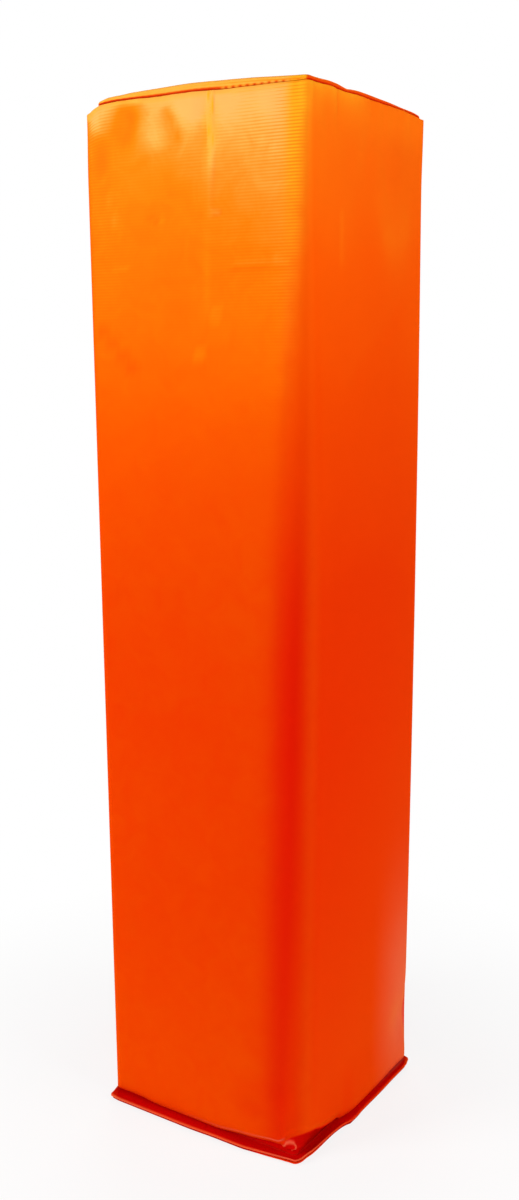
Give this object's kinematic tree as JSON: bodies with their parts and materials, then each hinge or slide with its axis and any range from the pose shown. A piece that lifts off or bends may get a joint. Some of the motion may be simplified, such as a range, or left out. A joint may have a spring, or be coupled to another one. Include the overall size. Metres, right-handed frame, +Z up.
{
  "type": "football field pylon",
  "caption": "Free-standing square end-zone pylon: orange coated-vinyl cover sewn over a foam block, with a flanged foot and a sand bag inside.",
  "frame": {"origin": "centre of the foot, on the surface it stands on", "axes": "+Z up along the post, -Y the front wall, +X the right wall; the closing seam of the wrap is at the corner of -X and +Y"},
  "size_m": [0.1118, 0.1118, 0.4572],
  "materials": {
    "cover_vinyl": "satin",
    "seam_thread": "matte",
    "foam": "matte",
    "bag_cloth": "matte",
    "sand": "matte"
  },
  "bodies": {
    "root": {"side_wrap": "cover_vinyl", "top_panel": "cover_vinyl", "base_panel": "cover_vinyl", "top_seam_needle_thread": "seam_thread", "top_seam_bobbin_thread": "seam_thread", "back_seam_needle_thread": "seam_thread", "back_seam_bobbin_thread": "seam_thread", "base_seam_needle_thread": "seam_thread", "base_seam_bobbin_thread": "seam_thread", "foam_core": "foam", "ballast_bag_lower": "bag_cloth", "ballast_bag_upper": "bag_cloth", "ballast_seam_needle_thread": "seam_thread", "ballast_seam_bobbin_thread": "seam_thread", "ballast_sand": "sand"}
  },
  "joints": []
}
